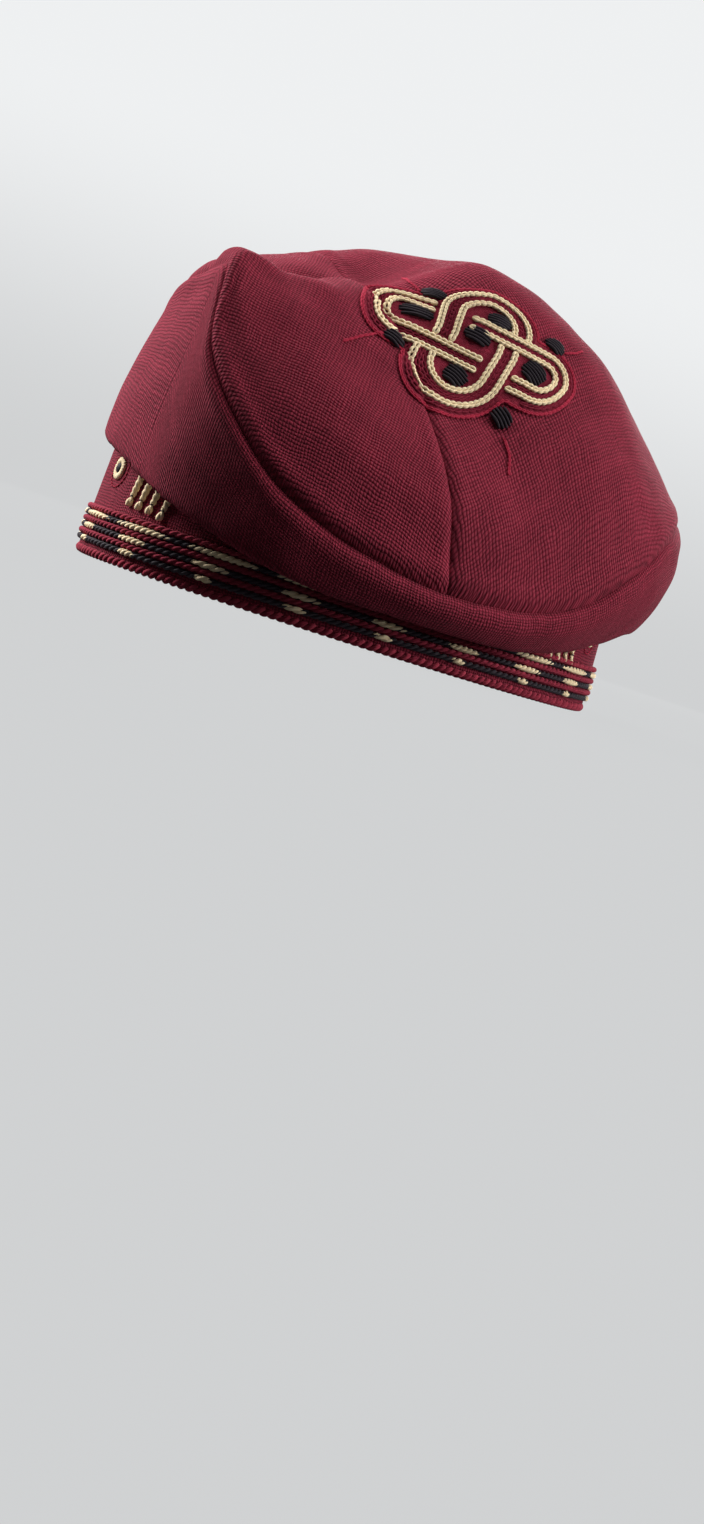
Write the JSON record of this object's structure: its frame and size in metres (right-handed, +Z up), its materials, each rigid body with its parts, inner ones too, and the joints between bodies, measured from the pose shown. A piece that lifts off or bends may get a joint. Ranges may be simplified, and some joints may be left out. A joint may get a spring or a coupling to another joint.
{
  "type": "woven cloth cap with an embroidered band",
  "caption": "Soft woven cap: a stiff round band with stitched border rows, a side panel slouching over it on the wearer's left, and a two-part top with a knot motif.",
  "frame": {"origin": "under the middle of the cap's outline, on the surface that the rim stands on", "axes": "+Z up, the cap's front towards -Y, the wearer's left side towards +X"},
  "size_m": [0.1892, 0.2232, 0.1344],
  "materials": {
    "band_cloth": "plain-woven burgundy strip cloth, matt",
    "crown_cloth": "coarse plain-woven burgundy strip cloth, matt, with small slubs",
    "red_cord": "twisted cotton cord, soft sheen",
    "red_thread": "dense chain stitch in red thread",
    "cream_thread": "thick cream cotton chain stitch, soft sheen",
    "black_thread": "black satin stitch, soft sheen"
  },
  "bodies": {
    "root": {"band": "band_cloth", "rim_rope": "red_cord", "lower_red_cord": "red_cord", "middle_red_cord": "red_cord", "upper_red_cord": "red_cord", "crown_side": "crown_cloth", "crown_top_front": "crown_cloth", "crown_top_back": "crown_cloth", "knot_ground": "red_thread"}
  },
  "joints": []
}
